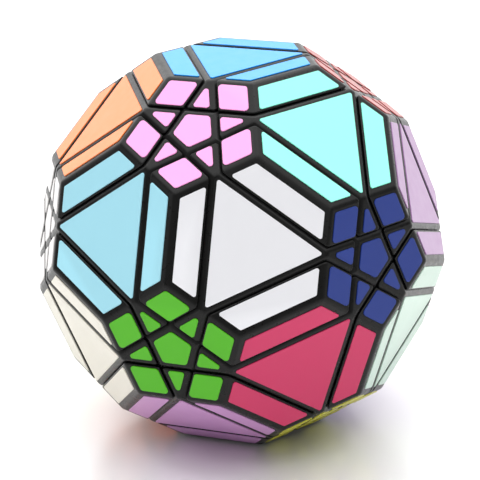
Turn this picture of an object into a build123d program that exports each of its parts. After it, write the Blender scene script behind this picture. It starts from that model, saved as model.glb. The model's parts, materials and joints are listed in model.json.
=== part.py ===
"""Corner-turning dodecahedron puzzle in the shape of a truncated icosahedron, in millimetres.

Twenty hexagon axes carry the turning layers and twelve pentagon axes carry the fixed centres.
A layer is everything inside one solid of revolution about its hexagon axis, so it turns freely
in the rest of the puzzle.  A corner lies in one layer, an edge in two and a centre in none.
The origin is the middle of the ball, +Z is a hexagon axis and -Y is the side of the front face.
"""

from build123d import *
import os
from math import acos, asin, atan2, cos, degrees, pi, radians, sin, sqrt, tan

os.makedirs("parts", exist_ok=True)

# ---- driving sizes of the ball
ACROSS_HEXAGONS = 80.0      # between opposite hexagon faces, bare plastic
LAYER_DEPTH = 4.7           # from a hexagon face down to the plane its layer turns on
RUNNING_GAP = 0.2           # between neighbouring moving pieces
RIDGE_ROUND = 1.5           # radius along the ridges between the 32 faces
BLUNT_RIM_ROUND = 1.1       # radius where a face meets a cut at an obtuse angle
SHARP_RIM_ROUND = 0.25      # radius where a face meets a cut at an acute angle

# ---- driving sizes of the mechanism
FOOT_INNER_RADIUS = 27.0    # inside of the feet
FOOT_OUTER_RADIUS = 33.0    # top of the feet, under the neighbours' overhang
FOOT_ANGLE = 32.0           # half-angle of the cone that the feet of a layer reach
STALK_ANGLE = 26.6          # half-angle of the cone that the stalks of a layer reach
CENTRE_SKIRT_RADIUS = 9.0   # widest part of a fixed centre, about its own axis
CORE_RADIUS = 15.5
CORE_SPIGOT_RADIUS = 5.0    # locates the two halves of the core
CORE_SPIGOT_HEIGHT = 2.5
POST_RADIUS = 3.3           # screw posts of the core
POST_ROOT = 14.0            # distance of a post's root, inside the ball of the core
POST_TOP = 22.0             # distance of a post's end from the middle
STEM_RADIUS = 4.2           # hollow stem of a corner, on its post
STEM_GAP = 0.15             # between stem and post, along the axis
CENTRE_STEM_RADIUS = 2.2    # stem of a fixed centre
CENTRE_PLUG_RADIUS = 1.8    # end of that stem, in the core's socket
SOCKET_FLOOR = 11.0         # distance of the socket's floor from the middle
SNUG = 0.02                 # radial room round a plug, spigot or thread
SEAT_GAP = 0.1              # room under a plug or spigot

# ---- screw, washer, spring and cap on each hexagon axis
SCREW_SHANK_RADIUS = 1.0
SCREW_HEAD_RADIUS = 2.0
SCREW_HEAD_HEIGHT = 1.6
SCREW_SLOT_LENGTH = 3.2
SCREW_SLOT_WIDTH = 0.6
SCREW_SLOT_DEPTH = 0.9
SCREW_TIP = 13.0            # distance of the screw's tip from the middle
BORE_CLEARANCE = 0.15       # radial room round the shank in the stem
SPRING_SEAT = 25.0          # distance of the counterbore's floor from the middle
SPRING_LENGTH = 6.0
SPRING_TURNS = 5
SPRING_RADIUS = 1.7         # middle of the wire
SPRING_WIRE_RADIUS = 0.28
WASHER_RADIUS = 2.2
WASHER_THICKNESS = 0.5
COUNTERBORE_RADIUS = 2.5
CAP_THICKNESS = 1.6
CAP_INRADIUS = 5.6          # of the triangular lid
CAP_CORNER_ROUND = 2.0
CAP_PLUG_HEIGHT = 2.0
CAP_FIT = 0.05              # room round the lid and its plug

# ---- vinyl stickers
STICKER_THICKNESS = 0.2
STICKER_FROM_CUT = 0.97
HEXAGON_STICKER_FROM_RIDGE = 1.3
PENTAGON_STICKER_FROM_RIDGE = 0.95
HEXAGON_STICKER_ROUND = 0.4     # corners of the triangles and trapezoids
RHOMBUS_STICKER_ROUND = 0.75
TIP_STICKER_ROUND = 0.55
CENTRE_STICKER_ROUND = 0.9

# ---- worked out from the driving sizes
GOLDEN = (1 + sqrt(5)) / 2
HEXAGON_DISTANCE = ACROSS_HEXAGONS / 2
SIDE = HEXAGON_DISTANCE * 4 / (3 * sqrt(3) + sqrt(15))
PENTAGON_DISTANCE = SIDE / 2 * sqrt((125 + 41 * sqrt(5)) / 10)
LAYER_PLANE = HEXAGON_DISTANCE - LAYER_DEPTH
HEX_TO_HEX = acos(sqrt(5) / 3)
HEX_TO_PENT = acos(sqrt((5 + 2 * sqrt(5)) / 15))
HEXAGON_INRADIUS = SIDE * sqrt(3) / 2
PENTAGON_INRADIUS = SIDE / 2 / tan(pi / 5)
HEXAGON_CUT = (LAYER_PLANE - HEXAGON_DISTANCE * cos(HEX_TO_HEX)) / sin(HEX_TO_HEX)
PENTAGON_CUT = (LAYER_PLANE - PENTAGON_DISTANCE * cos(HEX_TO_PENT)) / sin(HEX_TO_PENT)
SPRING_TOP = SPRING_SEAT + SPRING_LENGTH
WASHER_TOP = SPRING_TOP + WASHER_THICKNESS
ORIGIN = (0, 0, 0)
SKIN = HEXAGON_DISTANCE - 0.05     # the ball's whole surface is further out than this
FAR = 60.0                          # beyond the ball


# ------------------------------------------------------------------ axes and frames
UP = Vector(1 / GOLDEN, 0, -GOLDEN)
FRONT = Vector(-1, -1, -1)
STAND = Plane(origin=ORIGIN, x_dir=UP.cross(FRONT), z_dir=UP)
SIGNS = (1, -1)


def standing(triples):
    """Unit axes, turned so that one hexagon axis points up and the front one towards -Y."""
    return [STAND.to_local_coords(Vector(*triple)).normalized() for triple in triples]


def cyclic(a, b, c):
    """The three cyclic orders of a triple."""
    return [(a, b, c), (c, a, b), (b, c, a)]


def from_the_top(axis):
    """Sorting key: top to bottom, then anticlockwise seen from above, starting at the front."""
    azimuth = degrees(atan2(axis.X, -axis.Y)) % 360 if abs(axis.Z) < 0.999 else 0
    return (-round(axis.Z, 3), round(azimuth, 1) % 360)


def near(axis, others, angle):
    """The axes among others that stand at the given angle from axis."""
    return [other for other in others if abs(axis.dot(other) - cos(angle)) < 0.001]


def frame_on(axis, toward):
    """A frame at the middle with local Z along axis and local X leaning toward another axis."""
    return Plane(origin=ORIGIN, x_dir=toward - axis * axis.dot(toward), z_dir=axis)


pentagon_triples = [t for p in SIGNS for q in SIGNS for t in cyclic(0, p, q * GOLDEN)]
hexagon_triples = [(p, q, r) for p in SIGNS for q in SIGNS for r in SIGNS]
hexagon_triples += [t for p in SIGNS for q in SIGNS for t in cyclic(p / GOLDEN, 0, q * GOLDEN)]
pentagon_axes = sorted(standing(pentagon_triples), key=from_the_top)
hexagon_axes = sorted(standing(hexagon_triples), key=from_the_top)

corner_frames = [frame_on(axis, near(axis, hexagon_axes, HEX_TO_HEX)[0]) for axis in hexagon_axes]
centre_frames = [frame_on(axis, near(axis, hexagon_axes, HEX_TO_PENT)[0]) for axis in pentagon_axes]
edge_pairs = [
    (i, j)
    for i, axis in enumerate(hexagon_axes)
    for j, other in enumerate(hexagon_axes)
    if i < j and other in near(axis, hexagon_axes, HEX_TO_HEX)
]
edge_frames = [
    frame_on((hexagon_axes[i] + hexagon_axes[j]).normalized(), hexagon_axes[i]) for i, j in edge_pairs
]


def placed(shape, home, frames):
    """The shape, built on the home frame, repeated on the given frames."""
    back = home.location.inverse()
    return [frame.location * back * shape for frame in frames]


def on_axis(shape, axis):
    """A shape of revolution about +Z, stood on another axis."""
    return Plane(origin=ORIGIN, z_dir=axis).location * shape


# ------------------------------------------------------------------ the ball and a layer's room
def polar(radius, angle):
    """A point of the XZ plane at an angle in radians from +Z."""
    return (radius * sin(angle), radius * cos(angle))


def layer_room(grow):
    """The solid of revolution that one layer turns in, about +Z, grown all round."""
    inner = FOOT_INNER_RADIUS - grow
    outer = FOOT_OUTER_RADIUS + grow
    foot, stalk = radians(FOOT_ANGLE), radians(STALK_ANGLE)
    foot_low, foot_high = foot + asin(grow / inner), foot + asin(grow / outer)
    stalk_low = stalk + asin(grow / outer)
    floor = LAYER_PLANE - grow
    stalk_top = (floor + grow * sin(stalk)) * tan(stalk) + grow * cos(stalk)
    with BuildPart() as room:
        with BuildSketch(Plane.XZ):
            with BuildLine():
                ThreePointArc((0, inner), polar(inner, foot_low / 2), polar(inner, foot_low))
                Line(polar(inner, foot_low), polar(outer, foot_high))
                middle = (foot_high + stalk_low) / 2
                ThreePointArc(polar(outer, foot_high), polar(outer, middle), polar(outer, stalk_low))
                Line(polar(outer, stalk_low), (stalk_top, floor))
                Polyline((stalk_top, floor), (FAR, floor), (FAR, FAR), (0, FAR), (0, inner))
            make_face()
        revolve(axis=Axis.Z)
    return room.part


with BuildPart() as ball:
    Sphere(FAR)
    for axis in hexagon_axes:
        split(bisect_by=Plane(origin=axis * HEXAGON_DISTANCE, z_dir=axis), keep=Keep.BOTTOM)
    for axis in pentagon_axes:
        split(bisect_by=Plane(origin=axis * PENTAGON_DISTANCE, z_dir=axis), keep=Keep.BOTTOM)
    fillet(ball.edges(), RIDGE_ROUND)

room_of_own = layer_room(-RUNNING_GAP / 2)
room_of_others = layer_room(RUNNING_GAP / 2)


def rims(part):
    """The edges where the ball's surface meets a cut."""
    skins = part.faces().filter_by(lambda face: face.distance_to(ORIGIN) > SKIN)
    skin_edges = [edge for face in skins for edge in face.edges()]
    return ShapeList(
        edge for edge in skin_edges if sum(edge.is_same(other) for other in skin_edges) == 1
    )


def rims_on_layer(part, axis):
    """The rims that lie in the cutting plane of one layer."""
    return rims(part).filter_by(
        lambda edge: abs(edge.center().dot(axis) - LAYER_PLANE) < RUNNING_GAP
    )


# ------------------------------------------------------------------ corner, with its cap
top_axis = hexagon_axes[0]
top_neighbours = near(top_axis, hexagon_axes, HEX_TO_HEX)
top_face = Plane(
    origin=(0, 0, HEXAGON_DISTANCE), x_dir=corner_frames[0].x_dir, z_dir=corner_frames[0].z_dir
)
cap_seat = top_face.offset(-CAP_THICKNESS)


def lid_outline(grow):
    """Rounded triangle with its sides towards the neighbouring hexagons."""
    with BuildSketch(cap_seat) as outline:
        RegularPolygon(CAP_INRADIUS + grow, 3, major_radius=False, rotation=60)
        fillet(outline.vertices(), CAP_CORNER_ROUND + grow)
    return outline.sketch


with BuildPart() as corner:
    add(ball.part)
    add(room_of_own, mode=Mode.INTERSECT)
    for axis in top_neighbours:
        add(on_axis(room_of_others, axis), mode=Mode.SUBTRACT)
    blunt_rims = [e for axis in top_neighbours for e in rims_on_layer(corner.part, axis)]
    fillet(blunt_rims, BLUNT_RIM_ROUND)
    fillet(rims_on_layer(corner.part, top_axis), SHARP_RIM_ROUND)
    with BuildSketch(Plane.XY.offset(POST_TOP + STEM_GAP)):
        Circle(STEM_RADIUS)
    extrude(amount=FOOT_OUTER_RADIUS - POST_TOP)
    with BuildSketch(Plane.XY):
        Circle(SCREW_SHANK_RADIUS + BORE_CLEARANCE)
    extrude(amount=FAR, mode=Mode.SUBTRACT)
    with BuildSketch(Plane.XY.offset(SPRING_SEAT)):
        Circle(COUNTERBORE_RADIUS)
    extrude(amount=FAR, mode=Mode.SUBTRACT)
    extrude(lid_outline(CAP_FIT), amount=FAR, mode=Mode.SUBTRACT)

with BuildPart() as cap:
    extrude(lid_outline(0), amount=CAP_THICKNESS)
    with BuildSketch(cap_seat):
        Circle(COUNTERBORE_RADIUS - CAP_FIT)
    extrude(amount=-CAP_PLUG_HEIGHT)

# ------------------------------------------------------------------ edge
with BuildPart() as edge:
    add(ball.part)
    for k in edge_pairs[0]:
        add(on_axis(room_of_own, hexagon_axes[k]), mode=Mode.INTERSECT)
    fillet(rims(edge.part), SHARP_RIM_ROUND)

# ------------------------------------------------------------------ fixed centre
with BuildPart() as centre:
    with BuildSketch(centre_frames[0]):
        Circle(CENTRE_SKIRT_RADIUS)
    extrude(amount=FAR)
    add(ball.part, mode=Mode.INTERSECT)
    for axis in near(pentagon_axes[0], hexagon_axes, HEX_TO_PENT):
        add(on_axis(room_of_others, axis), mode=Mode.SUBTRACT)
    Sphere(FOOT_INNER_RADIUS, mode=Mode.SUBTRACT)
    fillet(rims(centre.part), BLUNT_RIM_ROUND)
    with BuildSketch(centre_frames[0].offset(CORE_RADIUS + SEAT_GAP)):
        Circle(CENTRE_STEM_RADIUS)
    extrude(amount=FOOT_OUTER_RADIUS - CORE_RADIUS)
    with BuildSketch(centre_frames[0].offset(SOCKET_FLOOR + SEAT_GAP)):
        Circle(CENTRE_PLUG_RADIUS)
    extrude(amount=FOOT_INNER_RADIUS - SOCKET_FLOOR)

# ------------------------------------------------------------------ core, in two halves
ON_FOOT = (Align.CENTER, Align.CENTER, Align.MIN)

with BuildPart() as core:
    Sphere(CORE_RADIUS)
    with Locations(*[frame.offset(POST_ROOT) for frame in corner_frames]):
        Cylinder(POST_RADIUS, POST_TOP - POST_ROOT, align=ON_FOOT)
    with Locations(*[frame.offset(SCREW_TIP - SEAT_GAP) for frame in corner_frames]):
        Cylinder(SCREW_SHANK_RADIUS + SNUG, POST_TOP, align=ON_FOOT, mode=Mode.SUBTRACT)
    with Locations(*[frame.offset(SOCKET_FLOOR) for frame in centre_frames]):
        Cylinder(CENTRE_PLUG_RADIUS + SNUG, CORE_RADIUS, align=ON_FOOT, mode=Mode.SUBTRACT)

with BuildPart() as core_upper_half:
    add(core.part)
    split(bisect_by=Plane.XY, keep=Keep.TOP)
    with BuildSketch(Plane.XY):
        Circle(CORE_SPIGOT_RADIUS + SNUG)
    extrude(amount=CORE_SPIGOT_HEIGHT + SEAT_GAP, mode=Mode.SUBTRACT)

with BuildPart() as core_lower_half:
    add(core.part)
    split(bisect_by=Plane.XY, keep=Keep.BOTTOM)
    with BuildSketch(Plane.XY):
        Circle(CORE_SPIGOT_RADIUS)
    extrude(amount=CORE_SPIGOT_HEIGHT)

# ------------------------------------------------------------------ screw, washer and spring
with BuildPart() as screw:
    with BuildSketch(Plane.XY.offset(SCREW_TIP)):
        Circle(SCREW_SHANK_RADIUS)
    extrude(amount=WASHER_TOP - SCREW_TIP)
    with BuildSketch(Plane.XY.offset(WASHER_TOP)):
        Circle(SCREW_HEAD_RADIUS)
    extrude(amount=SCREW_HEAD_HEIGHT)
    fillet(screw.edges().sort_by(Axis.Z)[-1], SCREW_HEAD_HEIGHT / 3)
    with BuildSketch(Plane.XY.offset(WASHER_TOP + SCREW_HEAD_HEIGHT)):
        Rectangle(SCREW_SLOT_LENGTH, SCREW_SLOT_WIDTH)
        Rectangle(SCREW_SLOT_WIDTH, SCREW_SLOT_LENGTH)
    extrude(amount=-SCREW_SLOT_DEPTH, mode=Mode.SUBTRACT)

with BuildPart() as washer:
    with BuildSketch(Plane.XY.offset(SPRING_TOP)):
        Circle(WASHER_RADIUS)
        Circle(SCREW_SHANK_RADIUS + BORE_CLEARANCE, mode=Mode.SUBTRACT)
    extrude(amount=WASHER_THICKNESS)

coil_height = SPRING_LENGTH - 2 * SPRING_WIRE_RADIUS
with BuildPart() as spring:
    with BuildLine():
        coil = Helix(
            pitch=coil_height / SPRING_TURNS,
            height=coil_height,
            radius=SPRING_RADIUS,
            center=(0, 0, SPRING_SEAT + SPRING_WIRE_RADIUS),
        )
    with BuildSketch(Plane(origin=coil @ 0, z_dir=coil % 0)):
        Circle(SPRING_WIRE_RADIUS)
    sweep(is_frenet=True)

# ------------------------------------------------------------------ stickers
def side_of(distance, azimuth):
    """Half-plane beyond a line at a distance from the face's centre, as a large square."""
    return Rot(0, 0, azimuth) * Pos(distance + FAR / 2, 0) * Rectangle(FAR, FAR)


def vinyl(outline, frame, distance, corner_round):
    """A sticker of the given outline on the face that lies at a distance along the frame's axis."""
    with BuildPart() as sticker:
        with BuildSketch(frame.offset(distance)) as face:
            add(outline)
            fillet(face.vertices(), corner_round)
        extrude(amount=STICKER_THICKNESS)
    return sticker.part


def regular_face(inradius, sides):
    """Regular polygon with the middle of one side on local X."""
    return RegularPolygon(inradius, sides, major_radius=False, rotation=180 / sides)


star_line = PENTAGON_CUT + STICKER_FROM_CUT
star_point = PENTAGON_CUT - STICKER_FROM_CUT
hexagon_label = regular_face(HEXAGON_INRADIUS - HEXAGON_STICKER_FROM_RIDGE, 6)
pentagon_label = regular_face(PENTAGON_INRADIUS - PENTAGON_STICKER_FROM_RIDGE, 5)

triangle_outline = regular_face(HEXAGON_CUT - STICKER_FROM_CUT, 3)
trapezoid_outline = hexagon_label & side_of(HEXAGON_CUT + STICKER_FROM_CUT, 0)
centre_outline = regular_face(star_point, 5)
rhombus_outline = pentagon_label & side_of(star_line, 0) & side_of(star_line, 72)
tip_outline = regular_face(PENTAGON_INRADIUS, 5) & side_of(star_line, 0)
tip_outline = tip_outline - side_of(star_point, 72) - side_of(star_point, -72)


def tip_frames(corner_index):
    """Frames of the three pentagon faces round a corner, local X towards the corner."""
    axis = hexagon_axes[corner_index]
    return [frame_on(pentagon, axis) for pentagon in near(axis, pentagon_axes, HEX_TO_PENT)]


def trapezoid_frames(pair):
    """Frames of an edge's two hexagon faces, local X towards the other face."""
    i, j = pair
    return [
        frame_on(hexagon_axes[i], hexagon_axes[j]),
        frame_on(hexagon_axes[j], hexagon_axes[i]),
    ]


def rhombus_frames(pair):
    """Frames of an edge's two pentagon faces, local X towards the first of its hexagons."""
    first, second = (hexagon_axes[k] for k in pair)
    frames = []
    for pentagon in near(first, near(second, pentagon_axes, HEX_TO_PENT), HEX_TO_PENT):
        frame = frame_on(pentagon, first)
        if frame.y_dir.dot(second) < 0:
            frame = frame_on(pentagon, second)
        frames.append(frame)
    return frames


home_trapezoid = trapezoid_frames(edge_pairs[0])[0]
home_rhombus = rhombus_frames(edge_pairs[0])[0]
triangle = vinyl(triangle_outline, corner_frames[0], HEXAGON_DISTANCE, HEXAGON_STICKER_ROUND)
trapezoid = vinyl(trapezoid_outline, home_trapezoid, HEXAGON_DISTANCE, HEXAGON_STICKER_ROUND)
rhombus = vinyl(rhombus_outline, home_rhombus, PENTAGON_DISTANCE, RHOMBUS_STICKER_ROUND)
tip = vinyl(tip_outline, tip_frames(0)[0], PENTAGON_DISTANCE, TIP_STICKER_ROUND)
centre_label = vinyl(centre_outline, centre_frames[0], PENTAGON_DISTANCE, CENTRE_STICKER_ROUND)


def corner_stickers(corner_index):
    """The big triangle and the three star points of one corner."""
    triangles = placed(triangle, corner_frames[0], [corner_frames[corner_index]])
    return triangles + placed(tip, tip_frames(0)[0], tip_frames(corner_index))


def edge_stickers(pair):
    """The two trapezoids and two rhombi of one edge."""
    trapezoids = placed(trapezoid, home_trapezoid, trapezoid_frames(pair))
    return trapezoids + placed(rhombus, home_rhombus, rhombus_frames(pair))


# ------------------------------------------------------------------ pieces and files
LAYERS = {
    "top": (0, 0, 1),
    "front": (0, -1, 0.35),
    "rear_right": (0.87, 0.5, 0.35),
    "rear_left": (-0.87, 0.5, 0.35),
    "low_right": (0.87, -0.5, -0.35),
    "low_rear": (0, 1, -0.35),
    "low_left": (-0.87, -0.5, -0.35),
    "bottom": (0, 0, -1),
}


def write(name, solids):
    """One STEP file for a piece, or for a group of identical loose pieces."""
    piece = solids[0] if len(solids) == 1 else Compound(children=solids)
    piece.label = name
    export_step(piece, f"parts/{name}.step")


corners = placed(corner.part, corner_frames[0], corner_frames)
caps = placed(cap.part, corner_frames[0], corner_frames)
edges = placed(edge.part, edge_frames[0], edge_frames)

spare_corners = list(range(len(corner_frames)))
spare_edges = list(range(len(edge_pairs)))
for layer, direction in LAYERS.items():
    nearest = max(spare_corners, key=lambda k: hexagon_axes[k].dot(Vector(*direction)))
    layer_edges = [k for k, pair in enumerate(edge_pairs) if nearest in pair]
    spare_corners.remove(nearest)
    spare_edges = [k for k in spare_edges if k not in layer_edges]
    write(f"corner_{layer}", [corners[nearest]])
    write(f"cap_{layer}", [caps[nearest]])
    write(f"edges_{layer}", [edges[k] for k in layer_edges])
    labels = corner_stickers(nearest) + [s for k in layer_edges for s in edge_stickers(edge_pairs[k])]
    write(f"stickers_{layer}", labels)

for number, k in enumerate(spare_corners, start=len(LAYERS) + 1):
    write(f"corner_{number:02d}", [corners[k]])
for number, k in enumerate(spare_edges, start=3 * len(LAYERS) + 1):
    write(f"edge_{number:02d}", [edges[k]])
write("caps_other", [caps[k] for k in spare_corners])
labels = placed(centre_label, centre_frames[0], centre_frames)
labels += [s for k in spare_corners for s in corner_stickers(k)]
labels += [s for k in spare_edges for s in edge_stickers(edge_pairs[k])]
write("stickers_other", labels)

write("centres", placed(centre.part, centre_frames[0], centre_frames))
write("core_upper_half", [core_upper_half.part])
write("core_lower_half", [core_lower_half.part])
write("screws", placed(screw.part, corner_frames[0], corner_frames))
write("washers", placed(washer.part, corner_frames[0], corner_frames))
write("springs", placed(spring.part, corner_frames[0], corner_frames))
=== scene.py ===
"""Looks of the corner-turning dodecahedron puzzle: materials, vinyl stickers, studio and camera.

Metres, in the part's own frame: the origin is the middle of the ball, +Z is up, -Y is the front.
"""

import json
from math import atan2, copysign, cos, degrees, radians, sin, sqrt

import bmesh
import bpy
from mathutils import Matrix, Vector


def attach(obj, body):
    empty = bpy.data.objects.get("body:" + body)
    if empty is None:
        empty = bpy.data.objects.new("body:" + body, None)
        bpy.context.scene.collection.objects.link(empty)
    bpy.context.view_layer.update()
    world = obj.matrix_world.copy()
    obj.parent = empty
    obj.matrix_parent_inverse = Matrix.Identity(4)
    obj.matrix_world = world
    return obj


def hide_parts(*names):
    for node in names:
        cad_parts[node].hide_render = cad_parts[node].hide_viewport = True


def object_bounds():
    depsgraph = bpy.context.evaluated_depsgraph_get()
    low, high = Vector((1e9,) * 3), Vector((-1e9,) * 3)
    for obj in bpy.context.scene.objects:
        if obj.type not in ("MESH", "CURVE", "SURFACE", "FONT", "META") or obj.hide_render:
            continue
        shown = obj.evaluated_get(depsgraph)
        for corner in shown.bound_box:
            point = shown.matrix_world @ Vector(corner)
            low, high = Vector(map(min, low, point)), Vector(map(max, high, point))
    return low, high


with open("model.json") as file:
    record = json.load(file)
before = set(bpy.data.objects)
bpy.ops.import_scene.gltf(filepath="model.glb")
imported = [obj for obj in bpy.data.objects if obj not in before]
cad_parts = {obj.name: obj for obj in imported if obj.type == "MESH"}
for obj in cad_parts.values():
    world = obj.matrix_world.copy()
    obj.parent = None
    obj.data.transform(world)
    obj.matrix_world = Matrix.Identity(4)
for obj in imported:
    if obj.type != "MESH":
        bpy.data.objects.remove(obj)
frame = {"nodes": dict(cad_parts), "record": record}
cad_box = [list(corner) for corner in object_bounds()]

MM = 0.001
GOLDEN = (1 + sqrt(5)) / 2

# ---- vinyl stickers
MERGE_DISTANCE = 0.001 * MM
VINYL_EDGE_ROUND = 0.06 * MM
VINYL_FLATNESS = radians(1.0)       # faces that meet at less than this are one face
SHARP_ANGLE = radians(35)           # edges steeper than this stay sharp

# ---- camera, as azimuth from -Y towards +X, elevation and distance of its place
CAMERA_AZIMUTH = -2.44
CAMERA_ELEVATION = 21.5
CAMERA_ROLL = -1.52
CAMERA_DISTANCE = 407.4 * MM
CAMERA_LENS = 143.3
CAMERA_SENSOR = 36.0
CAMERA_NEAREST = 10 * MM

# ---- light: a softly lit room, a large softbox overhead and a white wall behind the table
ROOM_LIGHT = 0.3
SOFTBOX_LIGHT = 2.15
SOFTBOX_TOWARD = (0.0, -0.04, 1.0)
SOFTBOX_EDGES = (58.0, 30.0)        # angles from its middle where it starts and is full
WALL_LIGHT = 1.6
WALL_EDGES = (0.1, 0.6)             # share of +Y in the direction where it starts and is full
WHITE = (1.0, 1.0, 1.0, 1.0)
TABLE_HALF_SIZE = 3.0

# ---- grain of the materials, in cycles per metre: colour, gloss and relief
PLASTIC_GRAIN = (160, 900, 4200)
VINYL_GRAIN = (55, 420, 1500)
STEEL_GRAIN = (700, 2500, 5000)
TABLE_GRAIN = (4, 30)
RELIEF_DETAIL = 2.0

# ---- sockets of a Mix node set to colours, which share their names with its number sockets
MIX_FIRST, MIX_SECOND, MIX_RESULT = 6, 7, 2
RANGE_SOCKETS = ("From Min", "From Max", "To Min", "To Max")

# ---- sticker colours, linear RGB, in the order of named_axes(): from the top down, and in
# each ring anticlockwise seen from above, starting at the front
HEXAGON_COLOURS = [
    ("bright_blue", (0.01, 0.31, 0.83)),
    ("aqua", (0.28, 0.93, 0.73)),
    ("dark_green", (0.02, 0.20, 0.06)),
    ("orange", (0.93, 0.22, 0.045)),
    ("white", (0.75, 0.75, 0.78)),
    ("light_violet", (0.36, 0.20, 0.39)),
    ("yellow", (0.90, 0.72, 0.05)),
    ("brown", (0.22, 0.09, 0.04)),
    ("grey", (0.30, 0.31, 0.32)),
    ("sky_blue", (0.34, 0.66, 0.77)),
    ("crimson", (0.60, 0.03, 0.12)),
    ("mint", (0.52, 0.69, 0.59)),
    ("deep_orange", (0.85, 0.22, 0.03)),
    ("navy", (0.01, 0.02, 0.10)),
    ("lime", (0.50, 0.75, 0.10)),
    ("cream", (0.76, 0.72, 0.63)),
    ("purple", (0.16, 0.03, 0.30)),
    ("sand", (0.66, 0.52, 0.30)),
    ("lilac", (0.59, 0.30, 0.59)),
    ("dark_red", (0.30, 0.01, 0.015)),
]
PENTAGON_COLOURS = [
    ("red", (0.33, 0.022, 0.018)),
    ("teal", (0.006, 0.20, 0.17)),
    ("pink", (0.93, 0.35, 0.69)),
    ("blue", (0.014, 0.036, 0.22)),
    ("rose", (0.75, 0.15, 0.27)),
    ("ivory", (0.72, 0.70, 0.69)),
    ("magenta", (0.55, 0.03, 0.30)),
    ("olive_green", (0.20, 0.28, 0.04)),
    ("green", (0.08, 0.46, 0.004)),
    ("gold", (0.62, 0.60, 0.05)),
    ("slate", (0.10, 0.13, 0.20)),
    ("coral", (0.92, 0.22, 0.10)),
]


# ------------------------------------------------------------------ faces of the ball
def cyclic(a, b, c):
    """The three cyclic orders of a triple."""
    return [(a, b, c), (c, a, b), (b, c, a)]


def from_the_top(axis):
    """Sorting key: top to bottom, then anticlockwise seen from above, starting at the front."""
    azimuth = degrees(atan2(axis.x, -axis.y)) % 360 if abs(axis.z) < 0.999 else 0
    return (-round(axis.z, 3), round(azimuth, 1) % 360)


def named_axes():
    """(unit axis, colour name, colour) of the 20 hexagons and the 12 pentagons."""
    signs = (1, -1)
    up = Vector((1 / GOLDEN, 0, -GOLDEN)).normalized()
    x_axis = up.cross(Vector((-1, -1, -1))).normalized()
    stand = Matrix((x_axis, up.cross(x_axis), up))
    hexagons = [(p, q, r) for p in signs for q in signs for r in signs]
    hexagons += [t for p in signs for q in signs for t in cyclic(p / GOLDEN, 0, q * GOLDEN)]
    pentagons = [t for p in signs for q in signs for t in cyclic(0, p, q * GOLDEN)]
    found = []
    for triples, colours in ((hexagons, HEXAGON_COLOURS), (pentagons, PENTAGON_COLOURS)):
        axes = sorted(((stand @ Vector(t)).normalized() for t in triples), key=from_the_top)
        found += [(axis, name, colour) for axis, (name, colour) in zip(axes, colours)]
    return found


FACES = named_axes()


# ------------------------------------------------------------------ materials
class Graph:
    """A material's node tree, with short calls for the nodes that the materials here share."""

    def __init__(self, name):
        self.material = bpy.data.materials.new(name)
        self.material.use_nodes = True
        self.tree = self.material.node_tree
        self.shader = self.tree.nodes["Principled BSDF"]
        self.place = self.tree.nodes.new("ShaderNodeTexCoord").outputs["Object"]

    def link(self, output, node, name):
        self.tree.links.new(output, node.inputs[name])

    def noise(self, scale, detail=3.0):
        """Noise from 0 to 1, with scale in cycles per metre."""
        node = self.tree.nodes.new("ShaderNodeTexNoise")
        node.inputs["Scale"].default_value = scale
        node.inputs["Detail"].default_value = detail
        self.link(self.place, node, "Vector")
        return node.outputs["Fac"]

    def spread(self, value, low, high, start=0.3, end=0.7):
        """Maps start..end of a value to low..high."""
        node = self.tree.nodes.new("ShaderNodeMapRange")
        for name, number in zip(RANGE_SOCKETS, (start, end, low, high)):
            node.inputs[name].default_value = number
        self.link(value, node, "Value")
        return node.outputs["Result"]

    def blend(self, value, first, second):
        """Colour between two colours, either given as linear RGB or as an output."""
        node = self.tree.nodes.new("ShaderNodeMix")
        node.data_type = "RGBA"
        self.link(value, node, "Factor")
        for number, colour in ((MIX_FIRST, first), (MIX_SECOND, second)):
            socket = node.inputs[number]
            if isinstance(colour, tuple):
                socket.default_value = (*colour, 1.0)
            else:
                self.tree.links.new(colour, socket)
        return node.outputs[MIX_RESULT]

    def bump(self, scale, distance, strength):
        """Fine relief, with scale in cycles per metre."""
        height = self.noise(scale, RELIEF_DETAIL)
        node = self.tree.nodes.new("ShaderNodeBump")
        node.inputs["Distance"].default_value = distance
        node.inputs["Strength"].default_value = strength
        self.link(height, node, "Height")
        self.link(node.outputs["Normal"], self.shader, "Normal")

    def convex(self):
        """1 on convex edges and 0 elsewhere."""
        pointiness = self.tree.nodes.new("ShaderNodeNewGeometry").outputs["Pointiness"]
        return self.spread(pointiness, 0.0, 1.0, 0.51, 0.60)


def tinted(colour, factor):
    """The colour made lighter or darker, within 0 to 1."""
    return tuple(min(1.0, channel * factor) for channel in colour)


def moulded_plastic(name, colour, worn, roughness, specular):
    """Moulded ABS: slight mottling, fine grain, and rims polished lighter by handling."""
    graph = Graph(name)
    mottle, patches, grain = PLASTIC_GRAIN
    mottled = graph.blend(graph.noise(mottle), tinted(colour, 0.8), tinted(colour, 1.25))
    graph.link(graph.blend(graph.convex(), mottled, worn), graph.shader, "Base Color")
    gloss = graph.spread(graph.noise(patches), roughness - 0.05, roughness + 0.07)
    graph.link(gloss, graph.shader, "Roughness")
    graph.bump(grain, distance=0.02 * MM, strength=0.08)
    graph.shader.inputs["Specular IOR Level"].default_value = specular
    return graph.material


def vinyl(name, colour):
    """Smooth vinyl: nearly even colour, faint orange peel, gloss that varies a little."""
    graph = Graph(name)
    mottle, patches, orange_peel = VINYL_GRAIN
    even = graph.blend(graph.noise(mottle), tinted(colour, 0.965), tinted(colour, 1.03))
    worn = graph.blend(graph.convex(), even, tinted(colour, 1.12))
    graph.link(worn, graph.shader, "Base Color")
    graph.link(graph.spread(graph.noise(patches), 0.28, 0.34), graph.shader, "Roughness")
    graph.bump(orange_peel, distance=0.01 * MM, strength=0.04)
    graph.shader.inputs["Specular IOR Level"].default_value = 0.35
    return graph.material


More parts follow.
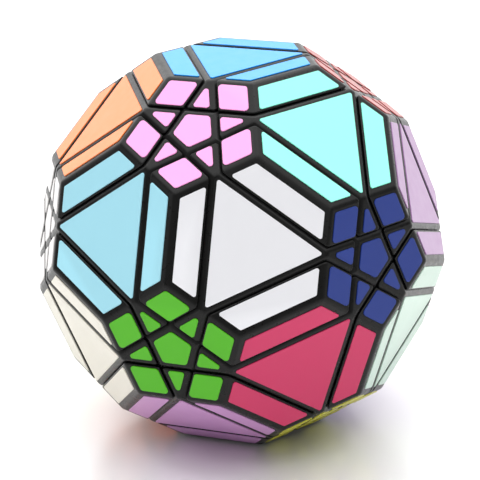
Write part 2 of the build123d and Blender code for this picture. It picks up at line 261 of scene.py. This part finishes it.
def plated_steel(name):
    """Zinc-plated steel, mottled and slightly rough."""
    graph = Graph(name)
    mottle, patches, grain = STEEL_GRAIN
    mottled = graph.blend(graph.noise(mottle), (0.42, 0.43, 0.45), (0.62, 0.62, 0.60))
    graph.link(mottled, graph.shader, "Base Color")
    graph.link(graph.spread(graph.noise(patches), 0.22, 0.42), graph.shader, "Roughness")
    graph.bump(grain, distance=0.01 * MM, strength=0.3)
    graph.shader.inputs["Metallic"].default_value = 1.0
    return graph.material


MATERIAL_OF_SLOT = {
    "black_plastic": moulded_plastic(
        "black_abs",
        colour=(0.0045, 0.0045, 0.0043),
        worn=(0.011, 0.011, 0.011),
        roughness=0.30,
        specular=0.2,
    ),
    "core_plastic": moulded_plastic(
        "white_core_abs",
        colour=(0.72, 0.72, 0.69),
        worn=(0.82, 0.82, 0.80),
        roughness=0.45,
        specular=0.4,
    ),
    "steel": plated_steel("zinc_plated_steel"),
}


# ------------------------------------------------------------------ carried-over CAD nodes
slots = {part["node"]: part["material_slot"] for part in frame["record"]["subparts"]}
for node_name, node in frame["nodes"].items():
    if slots[node_name] in MATERIAL_OF_SLOT:
        node.data.materials.clear()
        node.data.materials.append(MATERIAL_OF_SLOT[slots[node_name]])


# ------------------------------------------------------------------ stickers
vinyl_materials = [vinyl(f"vinyl_{name}", colour) for axis, name, colour in FACES]


def islands(mesh):
    """The faces of a bmesh, as lists of connected faces."""
    left = set(mesh.faces)
    found = []
    while left:
        queue = [left.pop()]
        island = []
        while queue:
            face = queue.pop()
            island.append(face)
            for edge in face.edges:
                for other in edge.link_faces:
                    if other in left:
                        left.remove(other)
                        queue.append(other)
        found.append(island)
    return found


def outer_face(island):
    """The sticker's shown side: the largest face that looks away from the ball's middle."""
    return max(
        island,
        key=lambda face: copysign(face.calc_area(), face.normal.dot(face.calc_center_median())),
    )


def face_number(normal):
    """Which of the 32 faces has this normal."""
    return max(range(len(FACES)), key=lambda k: FACES[k][0].dot(normal))


def make_stickers(node_name, body):
    """Vinyl stickers with rounded top edges, in the colour of the face they are on."""
    mesh = bmesh.new()
    mesh.from_mesh(frame["nodes"][node_name].data)
    bmesh.ops.remove_doubles(mesh, verts=mesh.verts, dist=MERGE_DISTANCE)
    bmesh.ops.dissolve_limit(
        mesh, angle_limit=VINYL_FLATNESS, verts=mesh.verts, edges=mesh.edges
    )
    shown = [outer_face(island) for island in islands(mesh)]
    rims = list({edge for face in shown for edge in face.edges})
    bmesh.ops.bevel(
        mesh, geom=rims, offset=VINYL_EDGE_ROUND, segments=2, profile=0.5, affect="EDGES"
    )
    data = bpy.data.meshes.new(f"{node_name}_vinyl")
    used = []
    for island in islands(mesh):
        top = outer_face(island)
        number = face_number(top.normal)
        if number not in used:
            used.append(number)
            data.materials.append(vinyl_materials[number])
        for face in island:
            face.material_index = used.index(number)
            face.smooth = face is not top
    for edge in mesh.edges:
        edge.smooth = edge.calc_face_angle() < SHARP_ANGLE
    mesh.to_mesh(data)
    mesh.free()
    stickers = bpy.data.objects.new(f"{node_name}_vinyl", data)
    bpy.context.scene.collection.objects.link(stickers)
    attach(stickers, body)
    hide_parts(node_name)


for body, members in frame["record"]["behaviour"]["bodies"].items():
    for member in members:
        if member.startswith("stickers_"):
            make_stickers(member, body)


# ------------------------------------------------------------------ studio
def make_floor():
    """A pale, slightly glossy table top under the lowest stickers."""
    half = TABLE_HALF_SIZE
    height = cad_box[0][2]
    mesh = bmesh.new()
    corners = [(-half, -half), (half, -half), (half, half), (-half, half)]
    mesh.faces.new([mesh.verts.new((x, y, height)) for x, y in corners])
    data = bpy.data.meshes.new("floor")
    mesh.to_mesh(data)
    mesh.free()
    floor = bpy.data.objects.new("floor", data)
    bpy.context.scene.collection.objects.link(floor)
    graph = Graph("pale_table")
    mottle, patches = TABLE_GRAIN
    pale = graph.blend(graph.noise(mottle), (0.83, 0.83, 0.83), (0.85, 0.85, 0.85))
    graph.link(pale, graph.shader, "Base Color")
    graph.link(graph.spread(graph.noise(patches), 0.20, 0.25), graph.shader, "Roughness")
    graph.shader.inputs["Specular IOR Level"].default_value = 1.0
    data.materials.append(graph.material)


def direction(azimuth, elevation):
    """Unit vector at an azimuth in degrees from -Y towards +X, and an elevation."""
    a, e = radians(azimuth), radians(elevation)
    return Vector((sin(a) * cos(e), -cos(a) * cos(e), sin(e)))


def make_studio():
    """A world that lights by direction, and that the camera itself sees as white."""
    world = bpy.data.worlds.new("studio")
    world.use_nodes = True
    nodes, links = world.node_tree.nodes, world.node_tree.links
    toward = nodes.new("ShaderNodeTexCoord").outputs["Generated"]

    def zone(axis, start, full, light):
        """Light that rises smoothly with the share of an axis in the direction."""
        share = nodes.new("ShaderNodeVectorMath")
        share.operation = "DOT_PRODUCT"
        share.inputs[1].default_value = Vector(axis).normalized()
        links.new(toward, share.inputs[0])
        ramp = nodes.new("ShaderNodeMapRange")
        ramp.interpolation_type = "SMOOTHSTEP"
        for name, number in zip(RANGE_SOCKETS, (start, full, 0.0, light)):
            ramp.inputs[name].default_value = number
        links.new(share.outputs["Value"], ramp.inputs["Value"])
        return ramp.outputs["Result"]

    def total(first, second):
        """Sum of two lights, either given as a number or as an output."""
        node = nodes.new("ShaderNodeMath")
        for socket, value in zip(node.inputs, (first, second)):
            if isinstance(value, float):
                socket.default_value = value
            else:
                links.new(value, socket)
        return node.outputs["Value"]

    start, full = (cos(radians(angle)) for angle in SOFTBOX_EDGES)
    softbox = zone(SOFTBOX_TOWARD, start, full, SOFTBOX_LIGHT)
    wall = zone((0, 1, 0), *WALL_EDGES, WALL_LIGHT)
    lights = nodes["Background"]
    links.new(total(total(softbox, wall), ROOM_LIGHT), lights.inputs["Strength"])
    lights.inputs["Color"].default_value = WHITE
    white = nodes.new("ShaderNodeBackground")
    white.inputs["Color"].default_value = WHITE
    seen = nodes.new("ShaderNodeMixShader")
    links.new(nodes.new("ShaderNodeLightPath").outputs["Is Camera Ray"], seen.inputs[0])
    links.new(lights.outputs["Background"], seen.inputs[1])
    links.new(white.outputs["Background"], seen.inputs[2])
    links.new(seen.outputs["Shader"], nodes["World Output"].inputs["Surface"])
    bpy.context.scene.world = world


def make_camera():
    """A camera that looks at the middle of the ball."""
    camera_data = bpy.data.cameras.new("camera")
    camera_data.lens = CAMERA_LENS
    camera_data.sensor_width = CAMERA_SENSOR
    camera_data.clip_start = CAMERA_NEAREST
    camera = bpy.data.objects.new("camera", camera_data)
    back = direction(CAMERA_AZIMUTH, CAMERA_ELEVATION)
    upright = back.to_track_quat("Z", "Y")
    camera.matrix_world = (
        Matrix.Translation(back * CAMERA_DISTANCE)
        @ upright.to_matrix().to_4x4()
        @ Matrix.Rotation(radians(CAMERA_ROLL), 4, "Z")
    )
    bpy.context.scene.collection.objects.link(camera)
    bpy.context.scene.camera = camera


make_floor()
make_studio()
make_camera()
bpy.context.scene.view_settings.view_transform = "Standard"
